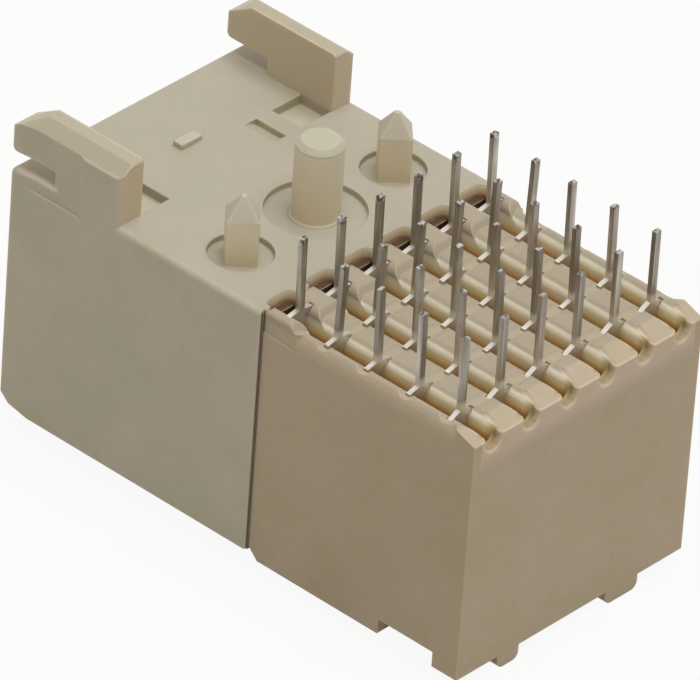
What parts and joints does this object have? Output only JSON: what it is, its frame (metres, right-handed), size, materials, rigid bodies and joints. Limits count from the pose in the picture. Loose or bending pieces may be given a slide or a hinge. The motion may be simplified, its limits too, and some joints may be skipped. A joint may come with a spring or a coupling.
{
  "type": "pin header",
  "caption": "Right-angle board header with an open shroud, a rear housing over bent solder tails, locating pegs and side hooks.",
  "frame": {"origin": "axis of the round centre peg, in the board seating face", "axes": "+X along a row of contacts, +Y out of the mating face, +Z along the solder tails into the board"},
  "size_m": [0.0122, 0.0225, 0.0144],
  "materials": {
    "front_plastic": "satin moulded, pale stone",
    "rear_plastic": "satin moulded, warm beige",
    "tin": "bright tin plate over copper alloy strip"
  },
  "bodies": {
    "root": {"front_housing": "front_plastic", "rear_housing": "rear_plastic", "contact_a1": "tin", "contact_a2": "tin", "contact_a3": "tin", "contact_a4": "tin", "contact_a5": "tin", "contact_a6": "tin", "contact_b1": "tin", "contact_b2": "tin", "contact_b3": "tin", "contact_b4": "tin", "contact_b5": "tin", "contact_b6": "tin", "contact_c1": "tin", "contact_c2": "tin", "contact_c3": "tin", "contact_c4": "tin", "contact_c5": "tin", "contact_c6": "tin", "contact_d1": "tin", "contact_d2": "tin", "contact_d3": "tin", "contact_d4": "tin", "contact_d5": "tin", "contact_d6": "tin", "contact_e1": "tin", "contact_e2": "tin", "contact_e3": "tin", "contact_e4": "tin", "contact_e5": "tin", "contact_e6": "tin"}
  },
  "joints": []
}
